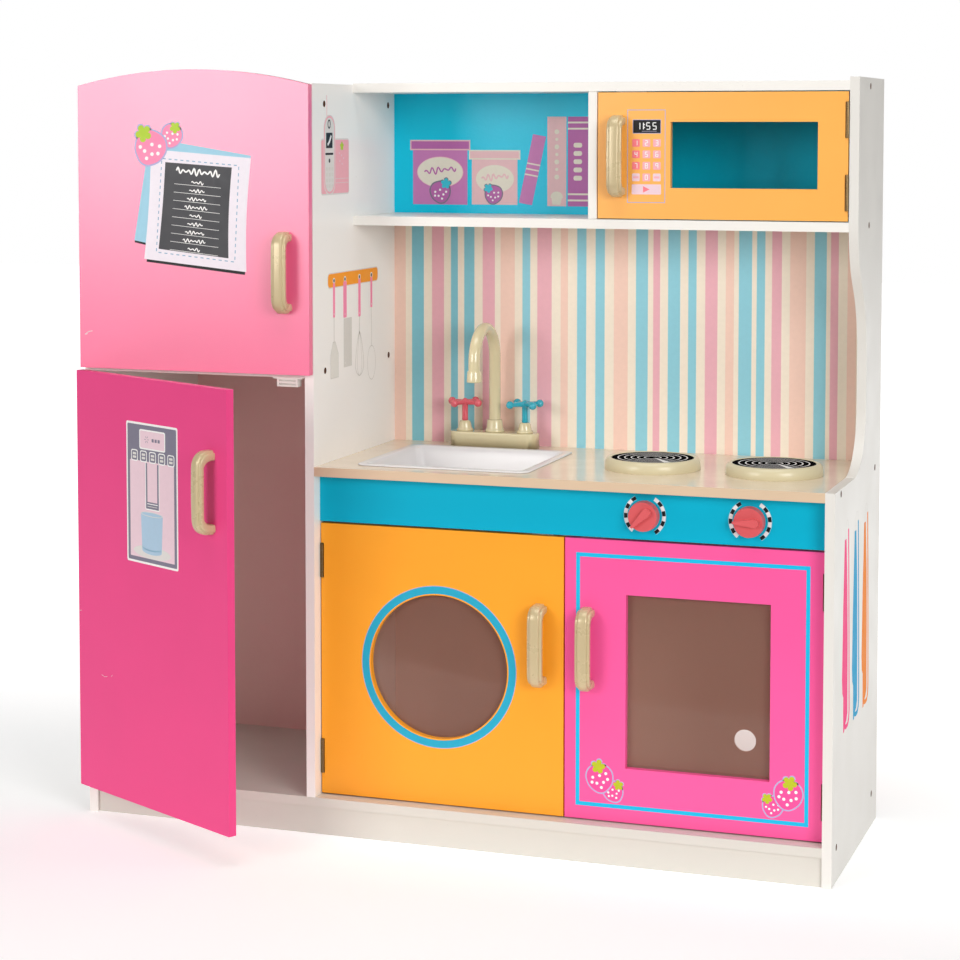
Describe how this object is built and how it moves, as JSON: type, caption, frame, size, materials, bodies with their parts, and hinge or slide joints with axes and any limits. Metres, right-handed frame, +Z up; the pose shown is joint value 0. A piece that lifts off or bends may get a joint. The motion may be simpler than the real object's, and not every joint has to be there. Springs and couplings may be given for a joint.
{
  "type": "toy kitchen",
  "caption": "Toy kitchen with an arched fridge-freezer tower, washer, oven, sink with faucet, hob, knobs, open shelf and microwave, all doors hinged.",
  "frame": {"origin": "on the floor, at the middle of the width, in the plane of the front edges of the carcass", "axes": "+X to the right seen from the front, +Y to the back, +Z up"},
  "size_m": [1.0865, 0.5333, 1.0679],
  "materials": {
    "white_board": "satin white laminate",
    "back_board": "matt white hardboard",
    "counter_laminate": "gloss beige laminate",
    "fascia_blue": "satin lacquer",
    "shelf_blue": "printed hardboard",
    "striped_print": "printed hardboard",
    "catch_plastic": "moulded",
    "hinge_steel": "zinc plated",
    "screw_brown": "bronzed",
    "champagne_plastic": "champagne",
    "burner_print": "printed black",
    "freezer_pink": "satin lacquer",
    "fridge_pink": "satin lacquer",
    "washer_orange": "satin lacquer",
    "oven_pink": "satin lacquer",
    "microwave_orange": "satin lacquer",
    "smoke_acrylic": "clear smoked acrylic",
    "blue_acrylic": "blue acrylic",
    "knob_coral": "moulded",
    "tap_red": "moulded",
    "tap_blue": "moulded",
    "sink_white": "moulded"
  },
  "bodies": {
    "carcass": {"left_side_panel": "white_board", "centre_divider": "white_board", "right_side_panel": "white_board", "base_board": "white_board", "plinth": "white_board", "fridge_shelf": "white_board", "fridge_top": "white_board", "counter_top": "counter_laminate", "control_fascia": "fascia_blue", "oven_divider": "white_board", "top_board": "white_board", "upper_shelf": "white_board", "upper_divider": "white_board", "fridge_back": "back_board", "cabinet_back": "back_board", "splash_back": "striped_print", "shelf_back": "shelf_blue", "magnetic_catches": "catch_plastic", "frame_hinge_leaves": "hinge_steel", "hinge_pins": "hinge_steel", "panel_screws": "screw_brown", "burner_rings": "champagne_plastic", "burner_discs": "burner_print", "faucet_base": "champagne_plastic"},
    "freezer_door": {"freezer_door": "freezer_pink", "freezer_handle": "champagne_plastic", "freezer_hinge_leaves": "hinge_steel", "freezer_strike_plate": "hinge_steel", "freezer_door_screws": "hinge_steel"},
    "fridge_door": {"fridge_door": "fridge_pink", "fridge_handle": "champagne_plastic", "fridge_hinge_leaves": "hinge_steel", "fridge_strike_plate": "hinge_steel", "fridge_door_screws": "hinge_steel"},
    "washer_door": {"washer_door": "washer_orange", "washer_window": "smoke_acrylic", "washer_handle": "champagne_plastic", "washer_hinge_leaves": "hinge_steel", "washer_strike_plate": "hinge_steel", "washer_door_screws": "hinge_steel"},
    "oven_door": {"oven_door": "oven_pink", "oven_window": "smoke_acrylic", "oven_handle": "champagne_plastic", "oven_hinge_leaves": "hinge_steel", "oven_strike_plate": "hinge_steel", "oven_door_screws": "hinge_steel"},
    "microwave_door": {"microwave_door": "microwave_orange", "microwave_window": "blue_acrylic", "microwave_handle": "champagne_plastic", "microwave_hinge_leaves": "hinge_steel", "microwave_strike_plate": "hinge_steel", "microwave_door_screws": "hinge_steel"},
    "knob_left": {"knob_left": "knob_coral", "knob_left_screw": "hinge_steel"},
    "knob_right": {"knob_right": "knob_coral", "knob_right_screw": "hinge_steel"},
    "sink_basin": {"sink_basin": "sink_white"},
    "spout": {"spout": "champagne_plastic"},
    "hot_tap": {"hot_tap": "tap_red"},
    "cold_tap": {"cold_tap": "tap_blue"}
  },
  "joints": [
    {"name": "fridge_door_hinge", "type": "hinge", "parent": "carcass", "child": "fridge_door", "pos_m": [-0.5426, -0.0012, 0.342], "axis": [0, 0, -1], "range_deg": [-28, 80]},
    {"name": "freezer_door_hinge", "type": "hinge", "parent": "carcass", "child": "freezer_door", "pos_m": [-0.5426, -0.0012, 0.846], "axis": [0, 0, -1], "range_deg": [0, 108]},
    {"name": "washer_door_hinge", "type": "hinge", "parent": "carcass", "child": "washer_door", "pos_m": [-0.1834, 0.021, 0.246], "axis": [0, 0, -1], "range_deg": [0, 90]},
    {"name": "oven_door_hinge", "type": "hinge", "parent": "carcass", "child": "oven_door", "pos_m": [0.5244, 0.021, 0.246], "axis": [0, 0, 1], "range_deg": [0, 90]},
    {"name": "microwave_door_hinge", "type": "hinge", "parent": "carcass", "child": "microwave_door", "pos_m": [0.5244, 0.148, 0.9485], "axis": [0, 0, 1], "range_deg": [0, 110]},
    {"name": "knob_left_turn", "type": "hinge", "parent": "carcass", "child": "knob_left", "pos_m": [0.282, 0.021, 0.4725], "axis": [0, -1, 0], "continuous": true},
    {"name": "knob_right_turn", "type": "hinge", "parent": "carcass", "child": "knob_right", "pos_m": [0.4245, 0.021, 0.4725], "axis": [0, -1, 0], "continuous": true},
    {"name": "hot_tap_turn", "type": "hinge", "parent": "carcass", "child": "hot_tap", "pos_m": [-0.0625, 0.279, 0.56], "axis": [0, 0, 1], "continuous": true},
    {"name": "cold_tap_turn", "type": "hinge", "parent": "carcass", "child": "cold_tap", "pos_m": [0.0305, 0.279, 0.56], "axis": [0, 0, 1], "continuous": true},
    {"name": "spout_swivel", "type": "hinge", "parent": "carcass", "child": "spout", "pos_m": [-0.016, 0.279, 0.56], "axis": [0, 0, 1], "range_deg": [-60, 60]},
    {"name": "sink_lift", "type": "slide", "parent": "carcass", "child": "sink_basin", "axis": [0, 0, 1], "range_m": [0, 0.05]}
  ]
}
